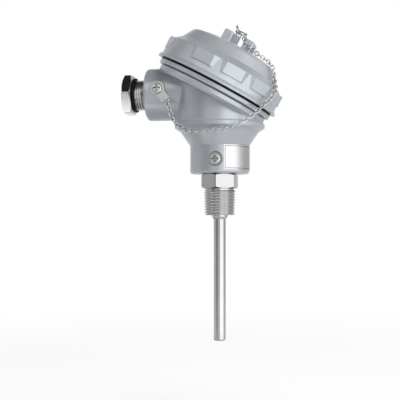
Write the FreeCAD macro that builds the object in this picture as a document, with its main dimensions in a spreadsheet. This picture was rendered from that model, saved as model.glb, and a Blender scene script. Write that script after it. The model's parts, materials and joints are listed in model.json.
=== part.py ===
import FreeCAD, Part
import math
import os
import Sketcher
from FreeCAD import Placement, Rotation, Vector

# Resistance temperature probe with a connection head.
# Frame: origin where the probe axis meets the underside of the hexagon, +Z up the probe axis
# to the head, +X the way the screw cap leans, cable entry towards -X. Millimetres.

doc = FreeCAD.newDocument("TemperatureProbe")
sheet = doc.addObject("Spreadsheet::Sheet", "Dims")

SIZES = {
    # sheath and what it holds
    "insertion_length": 100.0,
    "sheath_od": 8.0,
    "sheath_seat_od": 7.6,
    "sheath_wall": 0.9,
    "sheath_tip_thick": 1.6,
    "sheath_tip_round": 1.1,
    "sheath_rise": 28.5,
    "element_od": 2.8,
    "element_length": 18.0,
    "element_tip_gap": 0.6,
    "insulator_gap": 0.08,
    "insulator_rise": 1.5,
    "wire_od": 0.8,
    "wire_circle": 1.5,
    "wire_gap": 0.06,
    # process fitting
    "hex_flats": 22.0,
    "hex_height": 9.8,
    "hex_chamfer": 1.1,
    "hex_turn": 26.3,
    "thread_od": 21.3,
    "thread_length": 17.4,
    "thread_taper": 0.0625,
    "relief_depth": 1.0,
    "relief_height": 1.2,
    "weld_collar_od": 10.6,
    "weld_collar_height": 2.6,
    "shank_od": 20.0,
    "shank_length": 16.0,
    "weld_gap": 0.02,
    "thread_gap": 0.08,
    # neck, funnel and body of the head casting
    "neck_od": 38.8,
    "neck_round": 1.4,
    "funnel_base": 28.0,
    "funnel_od": 51.6,
    "funnel_top": 37.4,
    "shoulder_od": 59.2,
    "shoulder_base": 39.7,
    "shoulder_top": 42.4,
    "body_od": 57.4,
    "body_draft": 1.1,
    "body_wall": 3.9,
    "floor_top": 36.0,
    "funnel_wall": 8.8,
    # tilted flange and spigot that carry the cap
    "cap_tilt": 28.3,
    "cap_x": -2.7,
    "cap_z": 66.7,
    "flange_od": 80.6,
    "flange_rim": 2.8,
    "flange_groove": 0.7,
    "flange_groove_depth": 3.0,
    "flange_step_od": 76.8,
    "flange_depth": 7.7,
    "spigot_od": 74.0,
    "spigot_height": 12.0,
    "spigot_chamfer": 0.9,
    "mouth_od": 65.0,
    "mouth_depth": 3.5,
    # gasket and screw cap
    "gasket_thick": 1.3,
    "gasket_gap": 0.5,
    "gasket_od": 80.2,
    "cap_clearance": 0.25,
    "lip_od": 86.0,
    "lip_height": 1.0,
    "skirt_od": 79.8,
    "skirt_foot_od": 83.2,
    "skirt_base": 4.2,
    "skirt_top": 15.2,
    "cap_shoulder_od": 69.8,
    "cap_shoulder_top": 19.3,
    "crown_od": 60.6,
    "crown_top": 26.9,
    "dome_rise": 3.5,
    "cap_wall": 3.6,
    "crown_round": 3.0,
    "pad_proud": 1.6,
    "pad_base": 7.7,
    "pad_top": 15.2,
    "pad_width": 13.2,
    "pad_flare": 3.6,
    "pad_phase": 19.3,
    "pad_pitch": 30.0,
    # wing lugs and chain eye on the cap
    "lug_start": -11.4,
    "lug_end": 10.6,
    "lug_slot_start": -4.6,
    "lug_slot_end": 3.4,
    "lug_width": 14.0,
    "lug_top": 37.2,
    "lug_round": 1.4,
    "eye_along": -2.8,
    "eye_height": 37.8,
    "eye_width": 4.2,
    "eye_thick": 1.2,
    "eye_hole": 2.6,
    "ring_wire": 0.9,
    "ring_mean_od": 5.8,
    "hook_wire": 0.8,
    "hook_length": 10.4,
    "hook_width": 3.4,
    "joint_slack": 0.06,
    # cable entry boss and its pressure gland
    "boss_od": 34.4,
    "boss_z": 62.7,
    "boss_face": -48.2,
    "boss_round": 2.0,
    "gland_thread": 20.0,
    "gland_engaged": 7.5,
    "gland_exposed": 7.4,
    "gland_flats": 25.0,
    "gland_head": 6.4,
    "gland_chamfer": 1.0,
    "gland_turn": 31.5,
    "gland_bore": 13.0,
    "gland_travel_in": 3.0,
    "o_ring_od": 22.8,
    "o_ring_thick": 1.8,
    "o_ring_round": 0.7,
    "gland_washer_thick": 1.0,
    "grommet_length": 7.0,
    "grommet_bore": 8.0,
    "grommet_gap": 0.15,
    "cable_hole": 14.0,
    # terminal block
    "pillar_od": 8.4,
    "pillar_height": 3.5,
    "pillar_pitch": 33.0,
    "block_od": 42.0,
    "block_thick": 9.0,
    "block_hole": 10.0,
    "block_chamfer": 0.8,
    "terminal_count": 3,
    "terminal_first": 90.0,
    "terminal_rim": 3.4,
    "terminal_length": 9.2,
    "terminal_width": 6.4,
    "terminal_height": 7.0,
    "terminal_sunk": 2.0,
    "terminal_gap": 0.1,
    "terminal_wire_hole": 1.8,
    "terminal_wire_height": 4.4,
    "clamp_screw_od": 3.0,
    "clamp_head_od": 4.6,
    "clamp_head_height": 1.9,
    "clamp_screw_pitch": 4.6,
    "block_screw_od": 4.0,
    "block_head_od": 7.2,
    "block_head_height": 2.6,
    "block_counterbore": 4.0,
    "screw_gap": 0.05,
    # screws seen from outside
    "outer_screw_od": 4.0,
    "outer_head_od": 7.0,
    "outer_head_height": 2.1,
    "outer_head_round": 1.1,
    "outer_cross_span": 4.4,
    "outer_cross_width": 1.1,
    "outer_cross_depth": 1.4,
    "outer_washer_od": 8.8,
    "outer_washer_thick": 0.7,
    "neck_screw_z": 18.6,
    "neck_screw_length": 8.0,
    "spot_od": 9.4,
    "spot_depth": 0.7,
    "tag_along": 9.8,
    "tag_lift": 6.3,
    "tag_eye_od": 8.6,
    "tag_thick": 0.8,
    "tag_tail": 10.2,
    "tag_tail_width": 6.0,
    "tag_tail_angle": -53.5,
    "tag_bend": 55.0,
    "tag_lip": 3.4,
    "tag_hole": 2.2,
    "tag_hole_reach": 1.6,
    "tag_corner": 1.6,
    "tag_relief": 0.4,
    "tag_screw_length": 5.6,
    "tag_spot_od": 10.4,
    "earth_pad_od": 9.4,
    "earth_pad_reach": 2.8,
    "earth_z": 58.5,
    "earth_screw_length": 5.0,
    # blank name plate on the neck
    "plate_base": 11.9,
    "plate_top": 27.8,
    "plate_thick": 0.4,
    "plate_start": 16.0,
    "plate_sweep": 92.0,
    # safety chain
    "link_wire": 0.7,
    "link_pitch": 2.45,
    "link_slack": 0.12,
    "link_width": 3.1,
    "chain_stand": 2.1,
}


class Size:
    """A number together with the sheet formula that it comes from."""

    def __init__(self, number, formula):
        self.number = number
        self.formula = formula

    def __add__(self, other):
        other = as_size(other)
        return Size(self.number + other.number, f"({self.formula} + {other.formula})")

    def __sub__(self, other):
        other = as_size(other)
        return Size(self.number - other.number, f"({self.formula} - {other.formula})")

    def __mul__(self, other):
        other = as_size(other)
        return Size(self.number * other.number, f"({self.formula} * {other.formula})")

    def __truediv__(self, other):
        other = as_size(other)
        return Size(self.number / other.number, f"({self.formula} / {other.formula})")

    def __rsub__(self, other):
        return as_size(other) - self

    def __neg__(self):
        return self * -1

    def __float__(self):
        return self.number

    __radd__ = __add__
    __rmul__ = __mul__


def as_size(value):
    if isinstance(value, Size):
        return value
    return Size(float(value), f"({float(value)!r})")


def sine(angle):
    return Size(math.sin(math.radians(angle.number)), f"sin({angle.formula} * 1 deg)")


def cosine(angle):
    return Size(math.cos(math.radians(angle.number)), f"cos({angle.formula} * 1 deg)")


def root(value):
    return Size(math.sqrt(value.number), f"sqrt({value.formula})")


def fill_sheet():
    """Writes each driving size with its alias, and returns them by name."""
    sizes = {}
    for row, (name, number) in enumerate(SIZES.items(), start=1):
        sheet.set(f"A{row}", name)
        sheet.set(f"B{row}", str(number))
        sheet.setAlias(f"B{row}", name)
        sizes[name] = Size(float(number), f"Dims.{name}")
    doc.recompute()
    return sizes


S = fill_sheet()
PARTS = {}


def keep(name, thing):
    """Names a finished sub-part."""
    thing.Label = name
    PARTS[name] = thing
    return thing


# Drawing helpers: bodies, outlines and places

def new_body(name):
    return doc.addObject("PartDesign::Body", name)


def origin_plane(body, role):
    return next(f for f in body.Origin.OriginFeatures if f.Role == role)


def pin_corner(sketch, line, end, corner):
    """Fixes one end of a sketch line at its two formulas."""
    for kind, value, axis in (("DistanceX", corner[0], -2), ("DistanceY", corner[1], -1)):
        if not isinstance(value, Size) and value == 0:
            sketch.addConstraint(Sketcher.Constraint("PointOnObject", line, end, axis))
            continue
        value = as_size(value)
        rule = sketch.addConstraint(Sketcher.Constraint(kind, -1, 1, line, end, value.number))
        sketch.setExpression(f"Constraints[{rule}]", value.formula)


def side(start, end, radius):
    """Line from start to end, or an arc of this radius: positive bulges to the right of the way."""
    if radius is None:
        return Part.LineSegment(start, end)
    size = abs(float(radius))
    chord = end - start
    rise = size - math.sqrt(size * size - chord.Length ** 2 / 4)
    right = Vector(chord.y, -chord.x, 0).normalize()
    middle = (start + end) / 2 + right * (rise if float(radius) > 0 else -rise)
    if float(radius) > 0:
        return Part.Arc(start, middle, end)
    return Part.Arc(end, middle, start)


def outline(body, name, corners, role="XZ_Plane", lift=None):
    """Closed sketch through corners: pairs of sizes, with the radius of an arc that starts there."""
    sketch = body.newObject("Sketcher::SketchObject", name)
    sketch.AttachmentSupport = [(origin_plane(body, role), "")]
    sketch.MapMode = "FlatFace"
    if lift is not None:
        lift = as_size(lift)
        sketch.AttachmentOffset = Placement(Vector(0, 0, lift.number), Rotation())
        sketch.setExpression("AttachmentOffset.Base.z", lift.formula)
    spots = [Vector(float(corner[0]), float(corner[1]), 0) for corner in corners]
    radii = [corner[2] if len(corner) > 2 else None for corner in corners]
    count = len(corners)
    sketch.addGeometry(
        [side(spots[i], spots[(i + 1) % count], radii[i]) for i in range(count)], False)
    turned_back = [radius is not None and float(radius) < 0 for radius in radii]
    for i in range(count):
        following = (i + 1) % count
        leave = 1 if turned_back[i] else 2
        arrive = 2 if turned_back[following] else 1
        sketch.addConstraint(Sketcher.Constraint("Coincident", i, leave, following, arrive))
    for i, corner in enumerate(corners):
        pin_corner(sketch, i, 2 if turned_back[i] else 1, corner)
        if radii[i] is not None:
            radius = radii[i] * (-1 if turned_back[i] else 1)
            rule = sketch.addConstraint(Sketcher.Constraint("Radius", i, radius.number))
            sketch.setExpression(f"Constraints[{rule}]", radius.formula)
    return sketch


def turned(body, name, corners):
    """Adds the solid that a closed outline sweeps about the body's Z axis."""
    sketch = outline(body, name + "_outline", corners)
    turn = body.newObject("PartDesign::Revolution", name)
    turn.Profile = sketch
    turn.ReferenceAxis = (sketch, ["V_Axis"])
    turn.Angle = 360
    return turn


def padded(body, name, corners, height, lift=None, role="XY_Plane", kind="Pad", both=False):
    sketch = outline(body, name + "_outline", corners, role, lift)
    return raised(body, name, sketch, height, kind, both)


def raised(body, name, sketch, height, kind, both):
    feature = body.newObject("PartDesign::" + kind, name)
    feature.Profile = sketch
    feature.Length = float(height)
    feature.setExpression("Length", as_size(height).formula)
    feature.Midplane = both
    return feature


def cross_hole(body, name, centre, radius, depth, role="XZ_Plane"):
    """Round hole through the body, both ways from one of its planes."""
    sketch = body.newObject("Sketcher::SketchObject", name + "_outline")
    sketch.AttachmentSupport = [(origin_plane(body, role), "")]
    sketch.MapMode = "FlatFace"
    spot = Vector(float(centre[0]), float(centre[1]), 0)
    sketch.addGeometry(Part.Circle(spot, Vector(0, 0, 1), float(radius)), False)
    pin_corner(sketch, 0, 3, centre)
    rule = sketch.addConstraint(Sketcher.Constraint("Radius", 0, float(radius)))
    sketch.setExpression(f"Constraints[{rule}]", as_size(radius).formula)
    return raised(body, name, sketch, depth, "Pocket", True)


def rounded(body, name, base, edges, radius):
    feature = body.newObject("PartDesign::Fillet", name)
    feature.Base = (base, edges)
    feature.Radius = float(radius)
    feature.setExpression("Radius", as_size(radius).formula)
    return feature


def ring_edges(feature, radius, height):
    """Names of the circular edges about Z at this radius and height."""
    doc.recompute()
    names = []
    for number, edge in enumerate(feature.Shape.Edges, start=1):
        if edge.Degenerated or not isinstance(edge.Curve, Part.Circle):
            continue
        curve = edge.Curve
        near = abs(curve.Radius - float(radius)) < 1e-3 and abs(curve.Center.z - float(height)) < 1e-3
        if near and math.hypot(curve.Center.x, curve.Center.y) < 1e-3:
            names.append(f"Edge{number}")
    return names


def place(thing, spot=(0, 0, 0), axis=None, angle=0):
    """Puts a thing at three sizes, turned about an axis by an angle in degrees."""
    spot = [as_size(v) for v in spot]
    angle = as_size(angle)
    turn = Rotation(Vector(*axis), angle.number) if axis else Rotation()
    thing.Placement = Placement(Vector(*[v.number for v in spot]), turn)
    for letter, value in zip("xyz", spot):
        thing.setExpression(f"Placement.Base.{letter}", value.formula)
    if axis and "Dims" in angle.formula:
        thing.setExpression("Placement.Rotation.Angle", angle.formula)
    return thing


def in_cap_frame(along, height):
    """World place of a point on the cap's middle plane: along the slope, and above the flange."""
    return (
        S["cap_x"] + along * cosine(S["cap_tilt"]) + height * sine(S["cap_tilt"]),
        0,
        S["cap_z"] - along * sine(S["cap_tilt"]) + height * cosine(S["cap_tilt"]),
    )


def on_cap(thing, height=0):
    """Places a thing on the cap's axis, this far above the flange."""
    return place(thing, in_cap_frame(as_size(0), as_size(height)), (0, 1, 0), S["cap_tilt"])


def on_boss(thing, out=0):
    """Places a thing on the cable entry's axis, this far out of the boss face."""
    return place(thing, (S["boss_face"] - out, 0, S["boss_z"]), (0, 1, 0), -90)


def cylinder(name, radius, height):
    thing = doc.addObject("Part::Cylinder", name)
    for key, value in (("Radius", as_size(radius)), ("Height", as_size(height))):
        setattr(thing, key, value.number)
        thing.setExpression(key, value.formula)
    return thing


def cone(name, low_radius, high_radius, height):
    thing = doc.addObject("Part::Cone", name)
    rows = (("Radius1", low_radius), ("Radius2", high_radius), ("Height", height))
    for key, value in rows:
        value = as_size(value)
        setattr(thing, key, value.number)
        thing.setExpression(key, value.formula)
    return thing


def fused(name, things):
    thing = doc.addObject("Part::MultiFuse", name)
    thing.Shapes = things
    return thing


def cut(name, base, tool):
    thing = doc.addObject("Part::Cut", name)
    thing.Base = base
    thing.Tool = tool
    return thing


def common(name, things):
    thing = doc.addObject("Part::MultiCommon", name)
    thing.Shapes = things
    return thing


def prism(name, flats, height):
    """Hexagonal bar, sized across its flats."""
    thing = doc.addObject("Part::Prism", name)
    thing.Polygon = 6
    flats = as_size(flats)
    thing.Circumradius = flats.number / math.sqrt(3)
    thing.setExpression("Circumradius", f"{flats.formula} / sqrt(3)")
    thing.Height = float(height)
    thing.setExpression("Height", as_size(height).formula)
    return thing


# Process fitting: hexagon, tapered thread and the shank that screws into the neck

def fitting_base():
    """Height of the fitting's lower end, which the sheath's shoulder seats against."""
    return -S["thread_length"] - S["weld_collar_height"]


def make_fitting():
    flats = S["hex_flats"]
    corner = flats / math.sqrt(3)
    top = S["hex_height"]
    slope = S["hex_chamfer"] * math.tan(math.radians(30))
    blank = new_body("HexBlank")
    turned(blank, "HexBlankTurn", [
        (0, 0),
        (flats / 2 - S["hex_chamfer"] * 0.2, 0),
        (corner, slope + (corner - flats / 2) * math.tan(math.radians(30))),
        (corner, top - slope - (corner - flats / 2) * math.tan(math.radians(30))),
        (flats / 2 - S["hex_chamfer"] * 0.2, top),
        (0, top),
    ])
    bar = place(prism("HexBar", flats, top), (0, 0, 0), (0, 0, 1), S["hex_turn"])
    hexagon = common("HexHead", [blank, bar])

    thread = S["thread_od"] / 2
    end = thread - S["thread_length"] * S["thread_taper"] / 2
    relief = thread - S["relief_depth"]
    collar = S["weld_collar_od"] / 2
    low = fitting_base()
    spindle = new_body("FittingSpindle")
    turned(spindle, "FittingSpindleTurn", [
        (0, low),
        (S["sheath_od"] / 2 + 0.2, low),
        (collar, low + S["weld_collar_height"] * 0.55),
        (collar, -S["thread_length"]),
        (end - 1, -S["thread_length"]),
        (end, 1 - S["thread_length"]),
        (thread, -S["relief_height"] - S["relief_depth"] * 0.6),
        (relief, -S["relief_height"]),
        (relief, S["hex_chamfer"]),
        (relief, top),
        (S["shank_od"] / 2 - 0.8, top),
        (S["shank_od"] / 2 - 0.8, top + 1.2),
        (S["shank_od"] / 2, top + 2),
        (S["shank_od"] / 2, top + S["shank_length"] - 1),
        (S["shank_od"] / 2 - 1, top + S["shank_length"]),
        (0, top + S["shank_length"]),
    ])
    bore = cylinder(
        "FittingBore",
        S["sheath_seat_od"] / 2 + S["weld_gap"],
        top + S["shank_length"] - low + 2,
    )
    place(bore, (0, 0, low - 1))
    keep("process_fitting", cut("FittingBored", fused("FittingSolid", [hexagon, spindle]), bore))


# Sheath, ceramic insulator, sensing element and the powder round its tip

def make_probe():
    outer = S["sheath_od"] / 2
    inner = outer - S["sheath_wall"]
    tip = -S["insertion_length"]
    floor = tip + S["sheath_tip_thick"]
    tube = new_body("Sheath")
    turn = turned(tube, "SheathTurn", [
        (0, tip),
        (outer, tip),
        (outer, fitting_base()),
        (S["sheath_seat_od"] / 2, fitting_base()),
        (S["sheath_seat_od"] / 2, S["sheath_rise"]),
        (inner, S["sheath_rise"]),
        (inner, floor),
        (0, floor),
    ])
    rounded(tube, "SheathTip", turn, ring_edges(turn, outer, tip), S["sheath_tip_round"])
    keep("sheath_tube", tube)

    element_low = floor + S["element_tip_gap"]
    element_top = element_low + S["element_length"]
    element = new_body("Element")
    turn = turned(element, "ElementTurn", [
        (0, element_low),
        (S["element_od"] / 2, element_low),
        (S["element_od"] / 2, element_top),
        (0, element_top),
    ])
    keep("sensing_element", element)

    powder = new_body("Powder")
    turned(powder, "PowderTurn", [
        (0, floor),
        (inner, floor),
        (inner, element_top),
        (S["element_od"] / 2, element_top),
        (S["element_od"] / 2, element_low),
        (0, element_low),
    ])
    keep("tip_powder", powder)

    low = element_top
    high = S["sheath_rise"] + S["insulator_rise"]
    rod = cylinder("InsulatorRod", inner - S["insulator_gap"], high - low)
    place(rod, (0, 0, low))
    holes = []
    for number in range(int(S["terminal_count"].number)):
        angle = math.radians(terminal_angle(number))
        hole = cylinder(f"InsulatorHole{number}", S["wire_od"] / 2 + S["wire_gap"], high - low + 2)
        circle = S["wire_circle"]
        place(hole, (circle * math.cos(angle), circle * math.sin(angle), low - 1))
        holes.append(hole)
    keep("insulator_rod", cut("InsulatorDrilled", rod, fused("InsulatorHoles", holes)))
    return low


def terminal_angle(number):
    """Angle of a terminal about the probe axis, in degrees from +X."""
    return SIZES["terminal_first"] + number * 360 / SIZES["terminal_count"]


def block_base():
    return S["floor_top"] + S["pillar_height"]


def block_top():
    return block_base() + S["block_thick"]


def terminal_base():
    return block_top() - S["terminal_sunk"]


def terminal_inner():
    """Distance from the probe axis to a terminal's inner end."""
    return S["block_od"] / 2 - S["terminal_rim"] - S["terminal_length"]


def make_wires(low):
    """Each lead runs up its bore, over a bend and into its terminal."""
    bend = 3.0
    level = float(terminal_base() + S["terminal_wire_height"])
    reach = float(terminal_inner()) + 3.2
    start = SIZES["wire_circle"]
    for number in range(int(SIZES["terminal_count"])):
        turn = Rotation(Vector(0, 0, 1), terminal_angle(number))
        foot = Vector(start, 0, float(low))
        knee = Vector(start, 0, level - bend)
        middle = Vector(start + bend * (1 - math.sqrt(0.5)), 0, level - bend * (1 - math.sqrt(0.5)))
        shoulder = Vector(start + bend, 0, level)
        end = Vector(reach, 0, level)
        path = Part.Wire([
            Part.LineSegment(foot, knee).toShape(),
            Part.Arc(knee, middle, shoulder).toShape(),
            Part.LineSegment(shoulder, end).toShape(),
        ])
        ring = Part.Wire([Part.Circle(foot, Vector(0, 0, 1), SIZES["wire_od"] / 2).toShape()])
        wire = doc.addObject("Part::Feature", f"LeadWire{number + 1}")
        wire.Shape = path.makePipeShell([ring], True, True)
        wire.Placement = Placement(Vector(), turn)
        keep(f"lead_wire_{number + 1}", wire)


# Terminal block with its brass terminals and screws

def around(name, thing, base, angle):
    """Turns a thing that was drawn along +X about the probe axis, at this height."""
    place(thing, (0, 0, base), (0, 0, 1), angle)
    return thing


def make_terminals():
    radius = S["block_od"] / 2
    disc = new_body("Block")
    turned(disc, "BlockTurn", [
        (S["block_hole"] / 2, block_base()),
        (radius - S["block_chamfer"], block_base()),
        (radius, block_base() + S["block_chamfer"]),
        (radius, block_top() - S["block_chamfer"]),
        (radius - S["block_chamfer"], block_top()),
        (S["block_hole"] / 2, block_top()),
    ])
    tools = []
    gap = S["terminal_gap"]
    for number in range(int(SIZES["terminal_count"])):
        slot = new_body(f"BlockSlot{number}")
        half = S["terminal_width"] / 2 + gap
        start = terminal_inner() - gap
        end = terminal_inner() + S["terminal_length"] + gap
        padded(slot, f"BlockSlotPad{number}", [
            (start, -half), (end, -half), (end, half), (start, half),
        ], S["terminal_sunk"] + 1)
        tools.append(around("slot", slot, terminal_base(), terminal_angle(number)))
    for side in (-1, 1):
        spot = S["pillar_pitch"] / 2 * side
        through = cylinder("BlockScrewHole", S["block_screw_od"] / 2 + 0.25, S["block_thick"] + 2)
        seat = cylinder("BlockScrewSeat", S["block_head_od"] / 2 + 0.4, S["block_counterbore"] + 1)
        tools.append(place(through, (spot, 0, block_base() - 1)))
        tools.append(place(seat, (spot, 0, block_top() - S["block_counterbore"])))
    keep("terminal_block", cut("BlockCut", disc, fused("BlockTools", tools)))

    screws = []
    for number in range(int(SIZES["terminal_count"])):
        make_terminal(number)
        screws += clamp_screws(number)
    group = doc.addObject("Part::Compound", "ClampScrews")
    group.Links = screws
    keep("terminal_screws", group)

    heads = []
    for side in (-1, 1):
        screw = pan_screw(
            f"BlockScrew{side + 1}",
            S["block_screw_od"], S["block_head_od"], S["block_head_height"],
            S["block_thick"] - S["block_counterbore"] + S["pillar_height"] * 0.8,
        )
        seat = block_top() - S["block_counterbore"]
        heads.append(place(screw, (S["pillar_pitch"] / 2 * side, 0, seat)))
    group = doc.addObject("Part::Compound", "BlockScrews")
    group.Links = heads
    keep("block_screws", group)


def make_terminal(number):
    """Brass clamp block with a wire hole along it and two threaded holes from above."""
    body = new_body(f"Terminal{number + 1}")
    half = S["terminal_width"] / 2
    start = terminal_inner()
    end = start + S["terminal_length"]
    padded(body, f"TerminalPad{number}", [
        (start, -half), (end, -half), (end, half), (start, half),
    ], S["terminal_height"])
    around("terminal", body, terminal_base(), terminal_angle(number))
    wire = cylinder(f"TerminalWireHole{number}", S["terminal_wire_hole"] / 2, S["terminal_length"] + 2)
    place(wire, terminal_point(number, start - 1, S["terminal_wire_height"]),
          terminal_axis(number), 90)
    tools = [wire]
    for spot in clamp_spots():
        hole = cylinder(
            f"TerminalScrewHole{number}",
            S["clamp_screw_od"] / 2 + S["screw_gap"],
            S["terminal_height"] - S["terminal_wire_height"] + 1,
        )
        place(hole, terminal_point(number, spot, S["terminal_wire_height"]))
        tools.append(hole)
    keep(f"terminal_{number + 1}",
         cut(f"TerminalDrilled{number}", body, fused(f"TerminalTools{number}", tools)))


def clamp_spots():
    """Radii of a terminal's two clamp screws."""
    middle = terminal_inner() + S["terminal_length"] / 2
    return (middle - S["clamp_screw_pitch"] / 2, middle + S["clamp_screw_pitch"] / 2)


def terminal_point(number, radius, height):
    angle = math.radians(terminal_angle(number))
    return (radius * math.cos(angle), radius * math.sin(angle), terminal_base() + height)


def terminal_axis(number):
    """Axis about which +Z turns by a quarter to point along the terminal."""
    angle = math.radians(terminal_angle(number) + 90)
    return (math.cos(angle), math.sin(angle), 0)


def clamp_screws(number):
    screws = []
    for order, spot in enumerate(clamp_spots()):
        screw = pan_screw(
            f"ClampScrew{number}_{order}",
            S["clamp_screw_od"], S["clamp_head_od"], S["clamp_head_height"],
            S["terminal_height"] - S["terminal_wire_height"] - S["terminal_wire_hole"] / 2 - 0.05,
        )
        screws.append(place(screw, terminal_point(number, spot, S["terminal_height"])))
    return screws


def pan_screw(name, shank, head, head_height, length):
    """Slotted pan-head screw, head above the local origin and shank below it."""
    body = new_body(name)
    turned(body, name + "Turn", [
        (0, -length),
        (shank / 2 - 0.3, -length),
        (shank / 2, 0.3 - length),
        (shank / 2, 0),
        (head / 2, 0),
        (head / 2, head_height * 0.55),
        (head / 2 - head_height * 0.45, head_height),
        (0, head_height),
    ])
    wide = head / 2 + 0.2
    padded(body, name + "Slot", [
        (-wide, -0.4), (wide, -0.4), (wide, 0.4), (-wide, 0.4),
    ], head_height * 0.45, lift=head_height, kind="Pocket")
    return body


# Head casting

def make_head():
    neck_base = S["hex_height"]
    body_radius = S["body_od"] / 2
    high = S["cap_z"] + S["flange_od"] / 2 * sine(S["cap_tilt"])
    core = new_body("HeadCore")
    turn = turned(core, "HeadCoreTurn", [
        (0, neck_base),
        (S["neck_od"] / 2, neck_base),
        (S["neck_od"] / 2, S["funnel_base"]),
        (S["funnel_od"] / 2, S["funnel_top"]),
        (S["shoulder_od"] / 2, S["shoulder_base"]),
        (S["shoulder_od"] / 2, S["shoulder_top"]),
        (body_radius, S["shoulder_top"]),
        (body_radius - S["body_draft"], high),
        (0, high),
    ])
    foot = rounded(core, "NeckRound", turn,
                   ring_edges(turn, S["neck_od"] / 2, neck_base), S["neck_round"])
    ledge = rounded(core, "LedgeRound", foot,
                    ring_edges(foot, body_radius, S["shoulder_top"]), 0.8)
    rounded(core, "ShoulderRound", ledge,
            ring_edges(ledge, S["shoulder_od"] / 2, S["shoulder_top"]), 0.4)

    boss = new_body("Boss")
    reach = -S["boss_face"] - S["body_od"] / 2 + 8
    turn = turned(boss, "BossTurn", [
        (0, -reach),
        (S["boss_od"] / 2, -reach),
        (S["boss_od"] / 2, 0),
        (0, 0),
    ])
    rounded(boss, "BossRound", turn, ring_edges(turn, S["boss_od"] / 2, 0), S["boss_round"])
    on_boss(boss)

    pad = cylinder("EarthPad", S["earth_pad_od"] / 2, S["earth_pad_reach"] + S["body_wall"] / 2)
    inner = body_radius - S["body_wall"]
    place(pad, (0, inner - S["earth_pad_reach"], S["earth_z"]), (1, 0, 0), -90)

    above = cylinder("AboveFlange", S["flange_od"], S["flange_od"])
    on_cap(above, -S["flange_rim"] / 2)
    trimmed = cut("HeadTrimmed", fused("HeadRaw", [core, boss]), above)

    flange = new_body("Flange")
    rim = -S["flange_rim"]
    step = rim - S["flange_groove"]
    radius = S["flange_od"] / 2
    step_radius = S["flange_step_od"] / 2
    groove_radius = step_radius - S["flange_groove_depth"] / 2
    turn = turned(flange, "FlangeTurn", [
        (0, -S["flange_depth"]),
        (step_radius - 1.5, -S["flange_depth"]),
        (step_radius, 1.5 - S["flange_depth"]),
        (step_radius, step),
        (groove_radius, step),
        (groove_radius, rim),
        (radius, rim),
        (radius, 0),
        (S["spigot_od"] / 2, 0),
        (S["spigot_od"] / 2, S["spigot_height"] - S["spigot_chamfer"]),
        (S["spigot_od"] / 2 - S["spigot_chamfer"], S["spigot_height"]),
        (0, S["spigot_height"]),
    ])
    rounded(flange, "RimRound", turn, ring_edges(turn, radius, rim), 0.8)
    on_cap(flange)
    outside = fused("HeadOutside", [trimmed, flange])

    bore = S["shank_od"] / 2 + S["thread_gap"]
    throat = S["funnel_od"] / 2 - S["funnel_wall"]
    shank_top = neck_base + S["shank_length"]
    neck_bore = place(cylinder("NeckBore", bore, shank_top - neck_base + 2), (0, 0, neck_base - 1))
    funnel = place(
        cone("FunnelInside", bore, throat, S["floor_top"] - shank_top),
        (0, 0, shank_top),
    )
    chamber = place(
        cylinder("Chamber", inner, high - S["floor_top"] + 1), (0, 0, S["floor_top"]))
    mouth = on_cap(
        cylinder("Mouth", S["mouth_od"] / 2, S["mouth_depth"] + S["spigot_height"] + 1),
        -S["mouth_depth"],
    )
    seat_depth = gland_seat_depth()
    thread = on_boss(cylinder("BossThread", S["gland_thread"] / 2 + S["thread_gap"], seat_depth + 1),
                     -seat_depth)
    passage = on_boss(
        cylinder("CablePassage", S["cable_hole"] / 2, -S["boss_face"] - seat_depth), S["boss_face"])
    hollow = cut("HeadHollow", outside,
                 fused("HeadHollows", [neck_bore, funnel, chamber, mouth, thread, passage]))

    pillars = []
    for side in (-1, 1):
        pillar = cylinder("Pillar", S["pillar_od"] / 2, S["pillar_height"] + 2)
        pillars.append(place(pillar, (S["pillar_pitch"] / 2 * side, 0, S["floor_top"] - 2)))
    solid = fused("HeadWithPads", [hollow, pad] + pillars)
    drilled = cut("HeadDrilled", solid, fused("HeadHoles", screw_holes()))

    # one casting, given as three solids that meet in its groove and at its shoulder
    zone = S["flange_od"]
    inside = cylinder("RimZoneInside", S["mouth_od"] / 2 - 1, zone)
    rim_zone = on_cap(cut("RimZone", cylinder("RimZoneOutside", zone, zone), inside),
                      rim - S["flange_groove"] / 2)
    neck_zone = place(
        cylinder("NeckZone", zone, S["shoulder_top"] - neck_base + 1), (0, 0, neck_base - 1))
    keep("head_rim", common("HeadRim", [drilled, rim_zone]))
    keep("head_neck", common("HeadNeck", [drilled, neck_zone]))
    keep("head_casting", cut("HeadBody", drilled, fused("BodyZones", [rim_zone, neck_zone])))


def gland_seat_depth():
    """Depth of the shoulder that the grommet seats on, from the boss face."""
    return (S["gland_engaged"] + S["gland_travel_in"] + 0.1
            + S["gland_washer_thick"] + S["grommet_length"])


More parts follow.
